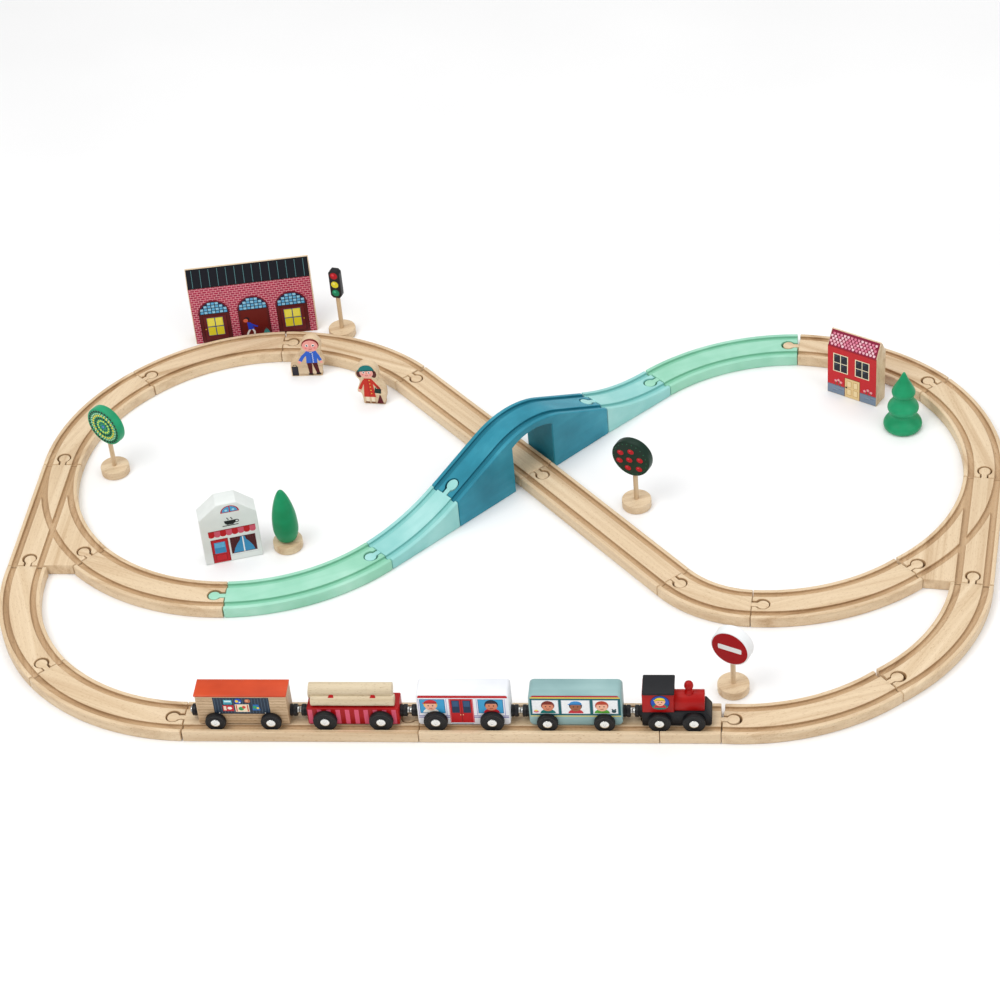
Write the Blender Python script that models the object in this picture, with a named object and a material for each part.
"""Wooden train set: a figure-eight of grooved track with a bridge and a bypass, a loco with four
wagons, buildings, trees, two signs and two figures. Metres, +Z up, standing on z = 0."""
import math

import bmesh
import bpy
import numpy as np
from mathutils import Matrix, Vector

# ---------------------------------------------------------------- track dimensions
TRACK_WIDTH = 0.040
TRACK_HEIGHT = 0.012
TRACK_EDGE = 0.0010        # bevel along the long edges
GROOVE_INNER = 0.010       # groove walls, measured from the centre line
GROOVE_OUTER = 0.016
GROOVE_DEPTH = 0.003
CURVE_RADIUS = 0.202       # centre line of the standard curve
SMALL_RADIUS = 0.108       # centre line of the one tight curve
CURVE_ANGLE = math.radians(45)
CURVE_STEPS = 7
STRAIGHT_LENGTH = 0.216
ADAPTER_LENGTH = 0.054
SWITCH_LENGTH = 0.157      # straight leg; its end face is flush with the corner of the curved leg

# ---------------------------------------------------------------- pegs and sockets
PEG_REACH = 0.0110         # centre of the peg's round head beyond the end face
PEG_RADIUS = 0.0057
PEG_NECK = 0.0052          # width of the neck
PEG_INSET = 0.0006         # the peg is this much thinner than the track, above and below
SOCKET_REACH = 0.0098
SOCKET_RADIUS = 0.0072
SOCKET_SLOT = 0.0080
ROUND_STEPS = 12
PEG_ROOT = 0.0030          # how far the neck is let into its own piece

# ---------------------------------------------------------------- ramps and bridge
RAMP_LENGTH = 0.087
BRIDGE_LENGTH = 0.202
BRIDGE_SLOPE = math.radians(25.5)
CROWN_HALF = 0.041         # half the length of the bridge's rounded crown
ARCH_HALF = 0.0265         # half the width of the underpass
ARCH_SPRING = 0.055        # height of the underpass walls
ARCH_CROWN = 0.062
RAMP_STEPS = 6

# ---------------------------------------------------------------- how the joints are laid
JOINT_GAP = 0.0006         # gap between two end faces that meet squarely
JOINT_HALF = 0.019         # a turned joint opens by this times its angle
# turn of each piece against the one before it, in degrees (left is positive)
MAIN_LOOP = [
    ("straight_a", 0.0), ("straight_b", 0.0), ("adapter_c", 0.0), ("curve_d", -4.5),
    ("curve_e", -4.5), ("switch_f", 1.5), ("curve_g", 0.0), ("curve_h", 2.5), ("curve_i", 3.5),
    ("ramp_j", 2.0), ("bridge_k", 1.5), ("ramp_l", 0.0), ("curve_m", 0.0), ("curve_n", -1.0),
    ("switch_o", -1.5), ("curve_p", 1.0), ("curve_q", 1.0), ("curve_r", -1.5),
    ("straight_s", -3.5), ("straight_t", -1.0), ("curve_u", 0.0), ("curve_v", 0.0),
    ("switch_f", -3.5),
]
BYPASS = [("curve_w", -2.5), ("curve_x", 1.5), ("straight_a", 1.5)]
FIXED_JOINTS = 3           # straight_a, straight_b and adapter_c carry the train in one line
PEG_AT_START = {"straight_a", "straight_b", "adapter_c", "ramp_l", "curve_w", "curve_x"}
PEG_AT_END = {"adapter_c", "curve_d", "curve_e", "curve_g", "curve_h", "curve_i", "ramp_j",
              "ramp_l", "curve_m", "curve_n", "curve_p", "curve_q", "curve_r", "straight_s",
              "straight_t", "curve_u", "curve_v"}
RIGHT_TURNS = {"curve_m", "curve_n", "curve_p", "curve_q", "curve_r"}

# ---------------------------------------------------------------- train dimensions
GAP = 0.0003               # between pieces that would touch
WAGON_LENGTH = 0.0834
WAGON_PITCH = 0.1005
WAGON_HALF = 0.0107        # half the width of a wagon body, between its wheels
WAGON_FLOOR = 0.0135
FIRST_WAGON = 0.0155       # rear face of the last wagon, along the front straights
KIOSK_TOP = 0.0469
LOG_BED = 0.0330
COACH_TOP = 0.0508         # top of the white and the grey wagon
AXLE_INSET = 0.0162        # axle from the end of a wagon body
WHEEL_RADIUS = {"kiosk": 0.0095, "log": 0.0109, "white": 0.0109, "grey": 0.0095, "loco": 0.0103}
WHEEL_INNER = 0.0111
WHEEL_OUTER = 0.0154
HUB_RADIUS = 0.0042
HUB_OUTER = 0.0162
AXLE_RADIUS = 0.0015
AXLE_BORE = 0.0019
WHEEL_STEPS = 20
COUPLER_HEIGHT = 0.0212
COUPLER_RADIUS = 0.0056
COUPLER_LENGTH = 0.0067
MAGNET_RADIUS = 0.0032
MAGNET_LENGTH = 0.0017

# ---------------------------------------------------------------- small parts
PLATE = 0.009              # thickness of the figures and of the flat tree crowns
SIGNAL_PLATE = 0.008
STOP_PLATE = 0.0118
BUSH_RADIUS = 0.0214
STOP_RADIUS = 0.0188
BASE_RADIUS = 0.0146
BASE_HEIGHT = 0.0090
POST_RADIUS = 0.0024
LATHE_STEPS = 20


# ================================================================ meshes
def solid(vertices, faces):
    """A closed mesh with its normals pointing outwards."""
    bm = bmesh.new()
    made = [bm.verts.new(v) for v in vertices]
    for face in faces:
        bm.faces.new([made[i] for i in face])
    bmesh.ops.recalc_face_normals(bm, faces=bm.faces)
    mesh = bpy.data.meshes.new("solid")
    bm.to_mesh(mesh)
    bm.free()
    return mesh


def loft(rings):
    """Closed rings of equal length joined in order, with both ends capped."""
    count = len(rings[0])
    vertices = [p for ring in rings for p in ring]
    faces = [list(range(count)), list(range(len(vertices) - count, len(vertices)))]
    for k in range(len(rings) - 1):
        for i in range(count):
            j = (i + 1) % count
            faces.append([k * count + i, k * count + j, (k + 1) * count + j, (k + 1) * count + i])
    return solid(vertices, faces)


def inset(outline, distance):
    """A polygon moved inwards by a distance, corner by corner."""
    area = sum(a[0] * b[1] - b[0] * a[1] for a, b in zip(outline, outline[1:] + outline[:1]))
    side = 1 if area > 0 else -1
    moved = []
    for i, point in enumerate(outline):
        before = Vector(point) - Vector(outline[i - 1])
        after = Vector(outline[(i + 1) % len(outline)]) - Vector(point)
        n1 = Vector((-before.y, before.x)).normalized() * side
        n2 = Vector((-after.y, after.x)).normalized() * side
        shift = (n1 + n2) / (1 + n1.dot(n2))
        moved.append((point[0] + shift.x * distance, point[1] + shift.y * distance))
    return moved


def prism(outline, low, high, edge=0.0):
    """An outline in the XY plane made into a block from low to high, with bevelled rims."""
    if not edge:
        levels = [(outline, low), (outline, high)]
    else:
        small = inset(outline, edge)
        levels = [(small, low), (outline, low + edge), (outline, high - edge), (small, high)]
    return loft([[(x, y, z) for x, y in ring] for ring, z in levels])


def stand_up(mesh):
    """Turns an outline drawn in XY up into the XZ plane, its depth running to +Y."""
    mesh.transform(Matrix.Rotation(math.pi / 2, 4, "X"))
    return mesh


def plate(outline, thickness, edge=0.0008):
    """An upright plate: outline in x and z, its front face at y = 0 and its back at y = thickness."""
    return stand_up(prism(outline, -thickness, 0.0, edge))


def lathe(profile, steps=LATHE_STEPS):
    """A profile of (radius, height) pairs turned round Z, closed to a point or a flat at each end."""
    rings = []
    for radius, height in profile:
        turn = [2 * math.pi * i / steps for i in range(steps)]
        rings.append([(radius * math.cos(a), radius * math.sin(a), height) for a in turn])
    return loft(rings)


def circle(radius, steps, cx=0.0, cy=0.0):
    turn = [2 * math.pi * i / steps for i in range(steps)]
    return [(cx + radius * math.cos(a), cy + radius * math.sin(a)) for a in turn]


def rounded(x0, y0, x1, y1, radius, steps=3):
    """A rectangle with rounded corners."""
    points = []
    corners = [(x1 - radius, y1 - radius, 0), (x0 + radius, y1 - radius, 90),
               (x0 + radius, y0 + radius, 180), (x1 - radius, y0 + radius, 270)]
    for cx, cy, start in corners:
        for i in range(steps + 1):
            a = math.radians(start + 90 * i / steps)
            points.append((cx + radius * math.cos(a), cy + radius * math.sin(a)))
    return points


def cylinder(radius, a, b, steps):
    """A cylinder between two points."""
    a = Vector(a)
    b = Vector(b)
    mesh = prism(circle(radius, steps), 0.0, (b - a).length)
    turn = Vector((0, 0, 1)).rotation_difference(b - a).to_matrix().to_4x4()
    mesh.transform(Matrix.Translation(a) @ turn)
    return mesh


def moved(mesh, x=0.0, y=0.0, z=0.0):
    mesh.transform(Matrix.Translation((x, y, z)))
    return mesh


def combine(body, others, operation):
    """Joins other closed meshes to a body, or cuts them from it, one after another."""
    for other in others:
        target = bpy.data.objects.new("target", body)
        tool = bpy.data.objects.new("tool", other)
        for item in (target, tool):
            bpy.context.scene.collection.objects.link(item)
        step = target.modifiers.new("step", "BOOLEAN")
        step.operation = operation
        step.solver = "EXACT"
        step.object = tool
        graph = bpy.context.evaluated_depsgraph_get()
        body = bpy.data.meshes.new_from_object(target.evaluated_get(graph))
        for item in (target, tool):
            bpy.data.objects.remove(item)
    return cleaned(body)


def cleaned(mesh):
    bm = bmesh.new()
    bm.from_mesh(mesh)
    bmesh.ops.remove_doubles(bm, verts=bm.verts, dist=0.00002)
    bmesh.ops.dissolve_limit(bm, angle_limit=0.002, verts=bm.verts, edges=bm.edges)
    bmesh.ops.triangulate(bm, faces=bm.faces)
    bmesh.ops.recalc_face_normals(bm, faces=bm.faces)
    bm.to_mesh(mesh)
    bm.free()
    return mesh


def join(body, *others):
    return combine(body, others, "UNION")


def cut(body, *others):
    return combine(body, others, "DIFFERENCE")


# ================================================================ materials and objects
def material(name, colour, roughness):
    made = bpy.data.materials.new(name)
    made.use_nodes = True
    shader = made.node_tree.nodes["Principled BSDF"]
    shader.inputs["Base Color"].default_value = (*colour, 1)
    shader.inputs["Roughness"].default_value = roughness
    return made


def place(name, mesh, frame, colour, roughness=0.5):
    """Adds a named sub-part whose own frame is the given matrix."""
    item = bpy.data.objects.new(name, mesh)
    mesh.name = name
    mesh.materials.clear()
    mesh.materials.append(material("mat_" + name, colour, roughness))
    for face in mesh.polygons:
        face.material_index = 0
    item.matrix_world = frame
    bpy.context.scene.collection.objects.link(item)
    return item


def frame_at(x, y, heading, z=0.0):
    return Matrix.Translation((x, y, z)) @ Matrix.Rotation(heading, 4, "Z")


# ================================================================ paths
def run_section(name, x, y, heading):
    """Where a centre line that enters a section at (x, y, heading) comes out of it."""
    radius, turn, length = section(name)
    if not turn:
        return x + length * math.cos(heading), y + length * math.sin(heading), heading
    side = math.copysign(1.0, turn)
    cx = x - side * radius * math.sin(heading)
    cy = y + side * radius * math.cos(heading)
    out = heading + turn
    return cx + side * radius * math.sin(out), cy - side * radius * math.cos(out), out


def section(name):
    """(radius, turn, length) of a section as the loop runs through it."""
    lengths = {"straight": STRAIGHT_LENGTH, "adapter": ADAPTER_LENGTH, "ramp": RAMP_LENGTH,
               "bridge": BRIDGE_LENGTH, "leg": SWITCH_LENGTH}
    kind = name.split("_")[0]
    if kind in lengths:
        return 0.0, 0.0, lengths[kind]
    radius = SMALL_RADIUS if name == "curve_u" else CURVE_RADIUS
    turn = -CURVE_ANGLE if name in RIGHT_TURNS or name == "switch_o" else CURVE_ANGLE
    return radius, turn, 0.0


def over_joint(x, y, heading, turn):
    """Crosses a joint laid at a small angle; the more it is turned, the wider it stands open."""
    gap = JOINT_GAP + JOINT_HALF * abs(turn)
    middle = heading + turn / 2
    return x + gap * math.cos(middle), y + gap * math.sin(middle), heading + turn


def lay(turns):
    """Lays every section for the given joint turns: (entry frames, exit frames, closing errors)."""
    entry = {}
    leave = {}
    at = (0.0, 0.0, 0.0)
    for i, (name, _) in enumerate(MAIN_LOOP):
        if i:
            at = over_joint(*at, turns[i])
        # the loop runs along the straight leg of switch_f first, and comes back by its curved leg
        key = "leg_f" if name == "switch_f" and i < len(MAIN_LOOP) - 1 else name
        entry[key] = at
        at = run_section(key, *at)
        leave[key] = at
    errors = closing(leave["switch_f"], leave["leg_f"])
    x, y, heading = leave["switch_o"]
    at = (x, y, heading + math.pi)
    entry["leg_o"] = at
    at = run_section("leg_o", *at)
    for k, (name, _) in enumerate(BYPASS):
        at = over_joint(*at, turns[len(MAIN_LOOP) + k])
        if name != "straight_a":
            entry[name] = at
            at = run_section(name, *at)
            leave[name] = at
    return entry, leave, np.array(errors + closing(at, entry["straight_a"]))


def closing(a, b):
    turn = (a[2] - b[2] + math.pi) % (2 * math.pi) - math.pi
    return [a[0] - b[0], a[1] - b[1], turn]


def close_loops():
    """Spreads what is left of the closing errors over all joints that may turn."""
    wanted = np.radians([turn for _, turn in MAIN_LOOP + BYPASS])
    free = np.arange(len(wanted)) >= FIXED_JOINTS
    turns = wanted.copy()
    step = 1e-6
    for _ in range(8):
        error = lay(turns)[2]
        slope = np.zeros((len(error), len(turns)))
        for i in np.flatnonzero(free):
            tried = turns.copy()
            tried[i] += step
            slope[:, i] = (lay(tried)[2] - error) / step
        change = np.linalg.lstsq(slope, -(error + slope @ (wanted - turns)), rcond=None)[0]
        turns = wanted + change
    return lay(turns)


# ================================================================ track pieces
def track_profile(top):
    """The grooved cross-section (y, z) of a piece whose running surface is at a height."""
    w = TRACK_WIDTH / 2
    e = TRACK_EDGE
    g = top - GROOVE_DEPTH
    half = [(w - e, 0.0), (w, e), (w, top - e), (w - e, top), (GROOVE_OUTER, top),
            (GROOVE_OUTER, g), (GROOVE_INNER, g), (GROOVE_INNER, top)]
    return half + [(-y, z) for y, z in reversed(half)]


def along(radius, turn, length, s):
    """Point and direction at a share s of a section that starts at the origin along +X."""
    if not turn:
        return length * s, 0.0, 0.0
    side = math.copysign(1.0, turn)
    a = turn * s
    return side * radius * math.sin(a), side * radius * (1 - math.cos(a)), a


def sweep(profile_at, radius, turn, length, shares):
    rings = []
    for s in shares:
        x, y, a = along(radius, turn, length, s)
        rings.append([(x - w * math.sin(a), y + w * math.cos(a), z) for w, z in profile_at(s)])
    return loft(rings)


def peg_outline(reach, radius, neck, root):
    """Dog-bone outline pointing along +X: a neck from -root, then a round head."""
    start = math.asin(neck / 2 / radius)
    arc = [math.pi - start - (2 * math.pi - 2 * start) * i / ROUND_STEPS
           for i in range(ROUND_STEPS + 1)]
    head = [(reach + radius * math.cos(a), radius * math.sin(a)) for a in arc]
    return [(-root, -neck / 2), (-root, neck / 2)] + head


def peg(low, high, slope=0.0):
    """A peg at the origin pointing along +X; slope tips it up with the deck of a ramp."""
    mesh = prism(peg_outline(PEG_REACH, PEG_RADIUS, PEG_NECK, PEG_ROOT), low, high, 0.0004)
    shear = Matrix.Identity(4)
    shear[2][0] = slope
    mesh.transform(shear)
    return mesh


def socket(high):
    """The cutter for a socket at the origin, running into a piece along +X."""
    outline = peg_outline(SOCKET_REACH, SOCKET_RADIUS, SOCKET_SLOT, 0.002)
    return prism(outline, -0.002, high + 0.002)


def at_start(mesh, inwards):
    """Puts a peg (pointing out) or a socket (pointing in) at the start of a section."""
    if not inwards:
        mesh.transform(Matrix.Rotation(math.pi, 4, "Z"))
    return mesh


def at_end(mesh, radius, turn, length, inwards):
    x, y, a = along(radius, turn, length, 1.0)
    mesh.transform(frame_at(x, y, a + (math.pi if inwards else 0.0)))
    return mesh


def fitted(name, mesh, radius, turn, length, ends):
    """Adds the peg or cuts the socket at each end; ends holds (surface height, slope) for both."""
    for where, (top, slope) in zip((at_start, at_end), ends):
        has_peg = name in (PEG_AT_START if where is at_start else PEG_AT_END)
        if has_peg:
            tool = peg(top - TRACK_HEIGHT + PEG_INSET, top - PEG_INSET, slope)
        else:
            tool = socket(top * 3)
        if where is at_start:
            tool = at_start(tool, not has_peg)
        else:
            tool = at_end(tool, radius, turn, length, not has_peg)
        mesh = join(mesh, tool) if has_peg else cut(mesh, tool)
    return mesh


def plain_track(name):
    """A straight or curved piece."""
    radius, turn, length = section(name)
    count = CURVE_STEPS if turn else 1
    shares = [i / count for i in range(count + 1)]
    mesh = sweep(lambda s: track_profile(TRACK_HEIGHT), radius, turn, length, shares)
    return fitted(name, mesh, radius, turn, length, [(TRACK_HEIGHT, 0.0)] * 2)


def ramp_height(x):
    """Running surface of a ramp, x from its low end: an arc that steepens to the bridge's slope."""
    arc = RAMP_LENGTH / math.sin(BRIDGE_SLOPE)
    return TRACK_HEIGHT + arc - math.sqrt(arc * arc - x * x)


def bridge_height(x):
    """Running surface of the bridge, x from its middle."""
    end = ramp_height(RAMP_LENGTH)
    flank = BRIDGE_LENGTH / 2 - CROWN_HALF
    if abs(x) > CROWN_HALF:
        return end + (BRIDGE_LENGTH / 2 - abs(x)) * math.tan(BRIDGE_SLOPE)
    arc = CROWN_HALF / math.sin(BRIDGE_SLOPE)
    foot = end + flank * math.tan(BRIDGE_SLOPE)
    return foot + math.sqrt(arc * arc - x * x) - arc * math.cos(BRIDGE_SLOPE)


def ramp(name):
    """A solid ramp. ramp_j climbs as the loop runs through it, ramp_l comes down."""
    climbs = name == "ramp_j"
    shares = [i / RAMP_STEPS for i in range(RAMP_STEPS + 1)]

    def profile_at(s):
        return track_profile(ramp_height(RAMP_LENGTH * (s if climbs else 1 - s)))

    mesh = sweep(profile_at, 0.0, 0.0, RAMP_LENGTH, shares)
    low = (TRACK_HEIGHT, 0.0)
    high = (ramp_height(RAMP_LENGTH), math.tan(BRIDGE_SLOPE))
    ends = [low, high] if climbs else [high, low]
    return fitted(name, mesh, 0.0, 0.0, RAMP_LENGTH, ends)


def bridge(name):
    """The bridge: a humped deck on two solid abutments with an arched underpass."""
    flank = (BRIDGE_LENGTH / 2 - CROWN_HALF) / BRIDGE_LENGTH
    crown = [flank + (1 - 2 * flank) * i / 12 for i in range(13)]
    shares = [0.0] + crown + [1.0]

    def profile_at(s):
        return track_profile(bridge_height((s - 0.5) * BRIDGE_LENGTH))

    mesh = sweep(profile_at, 0.0, 0.0, BRIDGE_LENGTH, shares)
    mesh = fitted(name, mesh, 0.0, 0.0, BRIDGE_LENGTH, [(ramp_height(RAMP_LENGTH), 0.0)] * 2)
    return cut(mesh, underpass())


def underpass():
    rise = ARCH_CROWN - ARCH_SPRING
    radius = (ARCH_HALF ** 2 + rise ** 2) / (2 * rise)
    reach = math.asin(ARCH_HALF / radius)
    arc = [-reach + 2 * reach * i / 10 for i in range(11)]
    top = [(radius * math.sin(a), ARCH_CROWN - radius + radius * math.cos(a)) for a in arc]
    outline = [(ARCH_HALF, -0.002), (-ARCH_HALF, -0.002)] + top
    mesh = stand_up(prism(outline, -TRACK_WIDTH, TRACK_WIDTH))
    return moved(mesh, BRIDGE_LENGTH / 2)


def groove(offset, radius, turn, length):
    """Cutter for one wheel groove, running a little past both ends of a section."""
    inner, outer = sorted((offset * GROOVE_INNER, offset * GROOVE_OUTER))
    box = [(inner, TRACK_HEIGHT - GROOVE_DEPTH), (outer, TRACK_HEIGHT - GROOVE_DEPTH),
           (outer, TRACK_HEIGHT + 0.002), (inner, TRACK_HEIGHT + 0.002)]
    count = CURVE_STEPS if turn else 1
    over = 0.002 / (abs(turn) * radius if turn else length)
    shares = [-over] + [i / count for i in range(1, count)] + [1 + over]
    return sweep(lambda s: box, radius, turn, length, shares)


def switch(name, side):
    """A switch from its common end: a straight leg along +X and a curved leg to one side."""
    w = TRACK_WIDTH / 2
    steps = [CURVE_ANGLE * i / CURVE_STEPS for i in range(CURVE_STEPS + 1)]
    back = [((CURVE_RADIUS - w) * math.sin(a), CURVE_RADIUS - (CURVE_RADIUS - w) * math.cos(a))
            for a in reversed(steps)]
    corner = ((CURVE_RADIUS + w) * math.sin(CURVE_ANGLE),
              CURVE_RADIUS - (CURVE_RADIUS + w) * math.cos(CURVE_ANGLE))
    outline = [(0.0, -w), (SWITCH_LENGTH, -w), (SWITCH_LENGTH, corner[1])]
    if corner[0] > SWITCH_LENGTH + 0.00002:
        outline.append(corner)
    outline = [(x, side * y) for x, y in outline + back]
    mesh = prism(outline, 0.0, TRACK_HEIGHT, TRACK_EDGE)
    turn = side * CURVE_ANGLE
    for offset in (-1, 1):
        mesh = cut(mesh, groove(offset, 0.0, 0.0, SWITCH_LENGTH))
        mesh = cut(mesh, groove(offset, CURVE_RADIUS, turn, 0.0))
    mesh = cut(mesh, at_end(socket(TRACK_HEIGHT), 0.0, 0.0, SWITCH_LENGTH, True))
    mesh = cut(mesh, at_end(socket(TRACK_HEIGHT), CURVE_RADIUS, turn, 0.0, True))
    return join(mesh, at_start(peg(PEG_INSET, TRACK_HEIGHT - PEG_INSET), False))


WOOD = (0.62, 0.43, 0.26)
MINT = (0.28, 0.72, 0.50)
SKY = (0.33, 0.75, 0.74)
TEAL = (0.05, 0.33, 0.42)
TRACK_COLOURS = {"ramp_j": SKY, "ramp_l": SKY, "bridge_k": TEAL, "curve_i": MINT, "curve_m": MINT}


def build_track():
    entry, leave, _ = close_loops()
    for name in dict.fromkeys([n for n, _ in MAIN_LOOP + BYPASS]):
        kind = name.split("_")[0]
        at = entry[name]
        if kind == "switch":
            x, y, heading = leave[name]
            at = (x, y, heading + math.pi)
            mesh = switch(name, 1 if name == "switch_o" else -1)
        elif kind == "ramp":
            mesh = ramp(name)
        elif kind == "bridge":
            mesh = bridge(name)
        else:
            mesh = plain_track(name)
        place(name, mesh, frame_at(*at), TRACK_COLOURS.get(name, WOOD))


# ================================================================ train
def coupler(x, outwards):
    """A coupler barrel with its magnet on the end face at x, pointing along +X or -X."""
    barrel = cylinder(COUPLER_RADIUS, (x - outwards * 0.002, 0, COUPLER_HEIGHT),
                      (x + outwards * COUPLER_LENGTH, 0, COUPLER_HEIGHT), 16)
    end = x + outwards * (COUPLER_LENGTH + MAGNET_LENGTH)
    magnet = cylinder(MAGNET_RADIUS, (x + outwards * (COUPLER_LENGTH - 0.001), 0, COUPLER_HEIGHT),
                      (end, 0, COUPLER_HEIGHT), 12)
    return [barrel, magnet]


def bores(positions, height):
    width = 0.02
    return [cylinder(AXLE_BORE, (x, -width, height), (x, width, height), 12) for x in positions]


def wheelset(vehicle, end, x):
    """Two wheels with hub caps on an axle, turning about its own origin."""
    radius = WHEEL_RADIUS[vehicle]
    parts = [cylinder(AXLE_RADIUS, (0, -WHEEL_INNER - 0.001, 0), (0, WHEEL_INNER + 0.001, 0), 12)]
    for side in (-1, 1):
        tread = [(radius, WHEEL_INNER), (radius, WHEEL_OUTER),
                 (HUB_RADIUS, WHEEL_OUTER), (HUB_RADIUS, HUB_OUTER)]
        wheel = lathe(tread, WHEEL_STEPS)
        wheel.transform(Matrix.Rotation(-side * math.pi / 2, 4, "X"))
        parts.append(wheel)
    mesh = join(parts[0], *parts[1:])
    place(vehicle + "_wheels_" + end, mesh, frame_at(x, 0, 0, axle_height(vehicle)),
          (0.02, 0.02, 0.022), 0.35)


def axle_height(vehicle):
    return TRACK_HEIGHT - GROOVE_DEPTH + GAP + WHEEL_RADIUS[vehicle]


def wagon_axles(index):
    start = FIRST_WAGON + WAGON_PITCH * index
    return start + AXLE_INSET, start + WAGON_LENGTH - AXLE_INSET


def wagon_body(vehicle, index, top, corner, colour):
    """A wagon body block with both couplers and its two axle bores, in a frame at its rear end."""
    start = FIRST_WAGON + WAGON_PITCH * index
    outline = rounded(0.0, WAGON_FLOOR, WAGON_LENGTH, top, corner)
    mesh = moved(plate(outline, 2 * WAGON_HALF, 0.0007), 0, -WAGON_HALF)
    mesh = join(mesh, *coupler(0.0, -1), *coupler(WAGON_LENGTH, 1))
    mesh = cut(mesh, *bores([AXLE_INSET, WAGON_LENGTH - AXLE_INSET], axle_height(vehicle)))
    place(vehicle + "_body", mesh, frame_at(start, 0, 0), colour)
    for end, x in zip(("rear", "front"), wagon_axles(index)):
        wheelset(vehicle, end, x)


def build_wagons():
    wagon_body("kiosk", 0, KIOSK_TOP, 0.0012, (0.62, 0.46, 0.30))
    kiosk_roof()
    wagon_body("log", 1, LOG_BED, 0.0012, (0.55, 0.02, 0.02))
    log_load()
    wagon_body("white", 2, COACH_TOP, 0.0030, (0.80, 0.80, 0.82))
    wagon_body("grey", 3, COACH_TOP, 0.0050, (0.30, 0.45, 0.46))


def kiosk_roof():
    """A flat board, as wide as the body and a little longer at the rear."""
    outline = [(-0.0109, 0.0), (0.0109, 0.0), (0.0109, 0.0012), (0.0104, 0.0017),
               (-0.0104, 0.0017), (-0.0109, 0.0012)]
    rings = [[(x, y, z) for y, z in outline] for x in (-0.0009, WAGON_LENGTH + 0.0003)]
    place("kiosk_roof", loft(rings), frame_at(FIRST_WAGON, 0, 0, KIOSK_TOP + GAP), (0.70, 0.13, 0.04))


def log_load():
    """Two logs side by side with a thicker one lying in the valley between them."""
    r = 0.0055
    half = 0.0049
    logs = [cylinder(size, (x, y, z), (x + 0.076, y, z), 16)
            for x, y, z, size in ((0.0, -half, r, r), (-0.0035, half, r, r),
                                  (-0.0015, 0.0, 0.0141, 0.0062))]
    mesh = join(logs[0], *logs[1:])
    x = FIRST_WAGON + WAGON_PITCH + 0.004
    place("log_load", mesh, frame_at(x, 0, 0, LOG_BED + GAP), (0.66, 0.50, 0.33))


LOCO_START = FIRST_WAGON + 4 * WAGON_PITCH
LOCO_AXLES = (0.0156, 0.0462)      # from the rear of the chassis
LOCO_CHASSIS_TOP = 0.0298
LOCO_CAB = 0.0290                  # front wall of the cab
LOCO_CAB_HEIGHT = 0.0214
LOCO_BOILER_END = 0.0558


def build_loco():
    loco_chassis()
    loco_body()
    roof = rounded(0.0010, -0.0125, 0.0296, 0.0125, 0.0010)
    place("loco_roof", prism(roof, 0.0, 0.0022, 0.0005),
          frame_at(LOCO_START, 0, 0, LOCO_CHASSIS_TOP + LOCO_CAB_HEIGHT + 2 * GAP),
          (0.03, 0.03, 0.035))
    for end, x in zip(("rear", "front"), LOCO_AXLES):
        wheelset("loco", end, LOCO_START + x)


def loco_chassis():
    """Black underframe; its front slopes forward and down from the boiler's end."""
    side = [(0.0, 0.0135), (0.0600, 0.0135), (0.0620, 0.0155), (0.0620, 0.0220),
            (0.0568, LOCO_CHASSIS_TOP), (0.0, LOCO_CHASSIS_TOP)]
    mesh = moved(plate(side, 2 * WAGON_HALF, 0.0007), 0, -WAGON_HALF)
    mesh = join(mesh, *coupler(0.0, -1))
    mesh = cut(mesh, *bores(LOCO_AXLES, axle_height("loco")))
    place("loco_chassis", mesh, frame_at(LOCO_START, 0, 0), (0.03, 0.03, 0.035))


def loco_body():
    """Cab block, rounded boiler and chimney, standing on the chassis."""
    cab = rounded(0.0006, -0.0112, LOCO_CAB, 0.0112, 0.0010)
    body = prism(cab, 0.0, LOCO_CAB_HEIGHT, 0.0004)
    r = 0.0086
    middle = 0.0063
    arc = [math.pi * i / 10 for i in range(11)]
    outline = [(-r, 0.0)] + [(-r * math.cos(a), middle + r * math.sin(a)) for a in arc] + [(r, 0.0)]
    rings = [[(x, y, z) for y, z in outline] for x in (LOCO_CAB - 0.002, LOCO_BOILER_END)]
    chimney = lathe([(0.0040, 0.012), (0.0040, 0.0170), (0.0030, 0.0180), (0.0030, 0.0195),
                     (0.0040, 0.0208), (0.0040, 0.0240), (0.0030, 0.0262), (0.0012, 0.0272)], 16)
    mesh = join(body, loft(rings), moved(chimney, 0.0420))
    place("loco_body", mesh, frame_at(LOCO_START, 0, 0, LOCO_CHASSIS_TOP + GAP), (0.62, 0.02, 0.02))


# ================================================================ buildings, trees, signs, figures
def gable_block(width, depth, eave, ridge, ridge_depth):
    """A building block: front wall at y = 0, roof slopes from both long walls to a flat ridge."""
    near = (depth - ridge_depth) / 2
    section_line = [(0.0, 0.0), (depth, 0.0), (depth, eave), (depth - near, ridge), (near, ridge),
                    (0.0, eave)]
    small = inset(section_line, 0.0006)
    levels = [(small, 0.0), (section_line, 0.0006), (section_line, width - 0.0006), (small, width)]
    return loft([[(x, y, z) for y, z in ring] for ring, x in levels])


def build_buildings():
    place("station", gable_block(0.1327, 0.020, 0.0715, 0.0912, 0.002),
          frame_at(-0.0915, 0.5909, math.radians(10.3)), (0.45, 0.08, 0.10))
    place("house", gable_block(0.0563, 0.0194, 0.0595, 0.0742, 0.0016),
          frame_at(0.5881, 0.4966, math.radians(-29.7)), (0.60, 0.03, 0.03))
    front = [(0.0, 0.0), (0.0567, 0.0), (0.0567, 0.0560), (0.0388, 0.0714), (0.0190, 0.0714),
             (0.0, 0.0560)]
    place("cafe", plate(front, 0.020), frame_at(-0.0191, 0.2234, math.radians(17.0)),
          (0.75, 0.76, 0.74))


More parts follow.
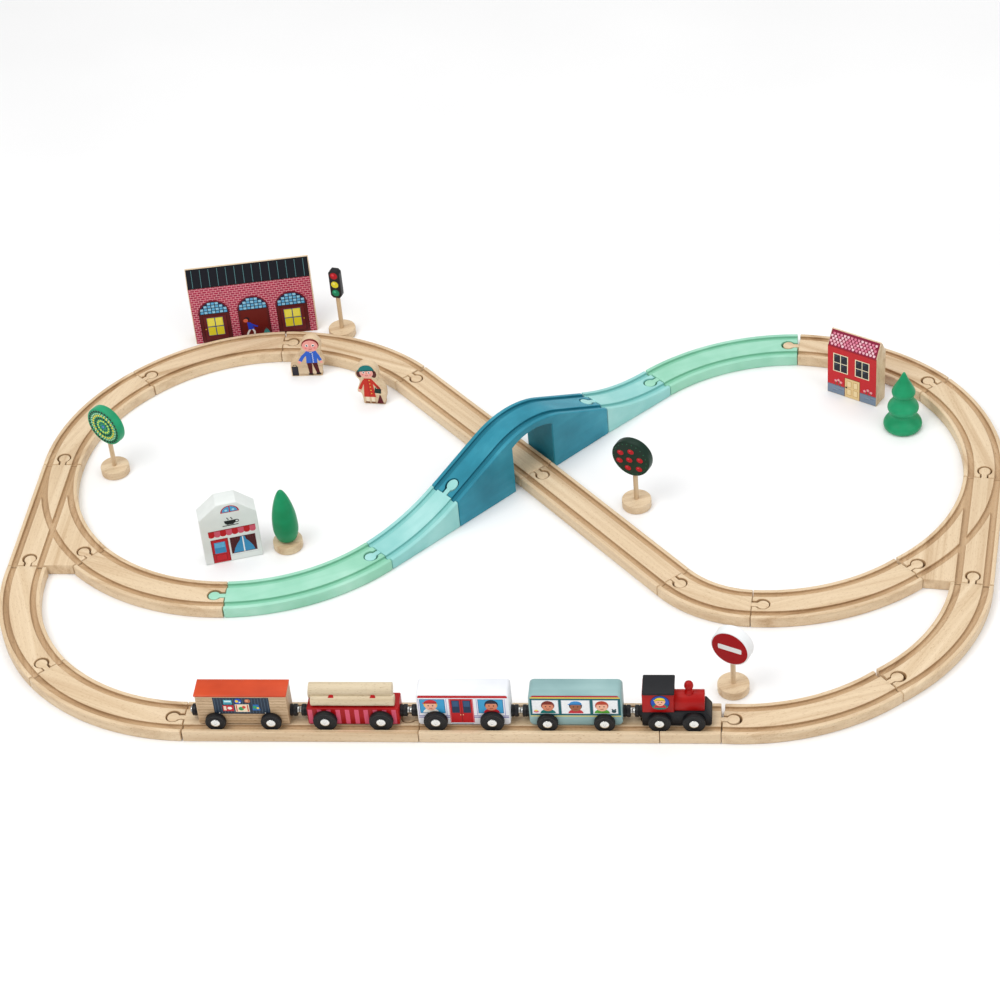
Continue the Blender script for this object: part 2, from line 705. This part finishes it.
def stand(name, x, y, post_top):
    """A round base with a dowel post in it."""
    base = lathe([(BASE_RADIUS - 0.001, 0.0), (BASE_RADIUS, 0.001), (BASE_RADIUS, BASE_HEIGHT - 0.001),
                  (BASE_RADIUS - 0.001, BASE_HEIGHT)])
    post = cylinder(POST_RADIUS, (0, 0, BASE_HEIGHT - 0.002), (0, 0, post_top), 16)
    place(name, join(base, post), frame_at(x, y, 0), WOOD)


def with_hole(mesh, bottom, depth):
    """Cuts the blind hole for a post, centred under a plate."""
    tool = cylinder(POST_RADIUS + GAP, (0, 0, bottom - 0.002), (0, 0, bottom + depth), 16)
    return cut(mesh, tool)


HOLE_DEPTH = 0.008


def on_post(name, stand_name, outline, thickness, x, y, facing, colour):
    """A plate centred on a post, its front turned by an angle in degrees about the post."""
    mesh = moved(plate(outline, thickness), 0, -thickness / 2)
    bottom = min(z for _, z in outline)
    at = frame_at(x, y, math.radians(facing))
    place(name, with_hole(mesh, bottom, HOLE_DEPTH), at, colour)
    stand(stand_name, x, y, bottom + HOLE_DEPTH - GAP)


def build_trees():
    disc = circle(BUSH_RADIUS, 32, 0.0, 0.0613)
    on_post("bush_crown", "bush_stand", disc, PLATE, -0.1383, 0.3710, -31, (0.03, 0.42, 0.22))
    egg = [(-0.0027 + 0.0204 * math.cos(a) * (1 + 0.06 * math.sin(a + 0.6)),
            0.0606 + 0.0204 * math.sin(a) * (1 + 0.04 * math.cos(a - 0.4)))
           for a in [2 * math.pi * i / 32 for i in range(32)]]
    on_post("apple_crown", "apple_stand", egg, PLATE, 0.3988, 0.3129, -25, (0.015, 0.06, 0.035))
    pear_tree(0.0583, 0.2529)
    fir = [(0.0160, 0.0), (0.0186, 0.0015), (0.0195, 0.0040), (0.0194, 0.0060), (0.0184, 0.0084),
           (0.0168, 0.0106), (0.0150, 0.0130), (0.0133, 0.0160), (0.0126, 0.0195), (0.0142, 0.0208),
           (0.0156, 0.0235), (0.0157, 0.0260), (0.0146, 0.0288), (0.0124, 0.0320), (0.0106, 0.0358),
           (0.0097, 0.0395), (0.0110, 0.0408), (0.0118, 0.0430), (0.0118, 0.0450), (0.0106, 0.0480),
           (0.0078, 0.0535), (0.0045, 0.0600), (0.0016, 0.0666), (0.0008, 0.0678)]
    place("fir_tree", lathe(fir), frame_at(0.6629, 0.4364, 0), (0.03, 0.42, 0.22))


def pear_tree(x, y):
    """A drop-shaped crown whose short spigot stands in a round base."""
    crown = [(0.0030, 0.0040), (0.0030, 0.0093), (0.0063, 0.0097), (0.0098, 0.0125),
             (0.0121, 0.0200), (0.0126, 0.0280), (0.0118, 0.0400), (0.0095, 0.0520),
             (0.0064, 0.0620), (0.0033, 0.0685), (0.0010, 0.0710)]
    place("pear_crown", lathe(crown), frame_at(x, y, 0), (0.03, 0.42, 0.22))
    base = lathe([(0.0136, 0.0), (0.0146, 0.001), (0.0146, 0.008), (0.0136, 0.009)])
    hole = cylinder(0.0030 + GAP, (0, 0, 0.0040 - GAP), (0, 0, 0.011), 24)
    place("pear_base", cut(base, hole), frame_at(x, y, 0), WOOD)


def build_signs():
    head = [(-0.0036, 0.0498), (0.0036, 0.0498), (0.0062, 0.0530), (0.0062, 0.0814),
            (0.0036, 0.0846), (-0.0036, 0.0846), (-0.0062, 0.0814), (-0.0062, 0.0530)]
    on_post("signal_head", "signal_stand", head, SIGNAL_PLATE, 0.0674, 0.6069, -12,
            (0.02, 0.02, 0.022))
    disc = circle(STOP_RADIUS, 32, 0.0, 0.0552)
    on_post("stop_disc", "stop_stand", disc, STOP_PLATE, 0.4974, 0.0499, -24.5,
            (0.80, 0.80, 0.80))


def build_figures():
    man = [(-16.6, 0), (-16.6, 14.5), (-14.5, 19.5), (-5.5, 26.5), (-3, 32), (-3, 40), (-0.5, 45.5),
           (4, 49), (9, 49.8), (14, 48.3), (18, 43.5), (19, 37), (17.5, 31), (16.5, 27), (20.5, 18.5),
           (19.5, 14.5), (17, 10.5), (16.6, 0)]
    woman = [(-9.5, 0), (-10.3, 8.5), (-11.2, 14), (-15.3, 14.5), (-15, 19), (-10.5, 29.5),
             (-15, 34.5), (-15.8, 39), (-13.5, 46), (-9, 50.8), (-3, 52.3), (3, 51), (7.5, 46.5),
             (9.2, 40), (8.8, 34.5), (6.5, 31), (9.5, 27.5), (14, 21), (15.2, 15), (15, 8),
             (13.2, 4), (13.2, 0)]
    for name, outline, x, y, facing in (("figure_man", man, 0.0387, 0.5313, 2.8),
                                        ("figure_woman", woman, 0.1155, 0.4815, -5)):
        drawn = [(a / 1000, b / 1000) for a, b in outline]
        place(name, plate(drawn, PLATE), frame_at(x, y, math.radians(facing)), WOOD)


# ================================================================ the whole set
def centre_on_floor():
    """Moves everything so that the middle of the set's footprint is at the origin."""
    bpy.context.view_layer.update()
    corners = np.array([item.matrix_world @ v.co for item in bpy.data.objects
                        for v in item.data.vertices])
    middle = (corners.min(axis=0) + corners.max(axis=0)) / 2
    shift = Matrix.Translation((-middle[0], -middle[1], 0))
    for item in bpy.data.objects:
        item.matrix_world = shift @ item.matrix_world


for old in list(bpy.data.objects):
    bpy.data.objects.remove(old)
build_track()
build_wagons()
build_loco()
build_buildings()
build_trees()
build_signs()
build_figures()
centre_on_floor()
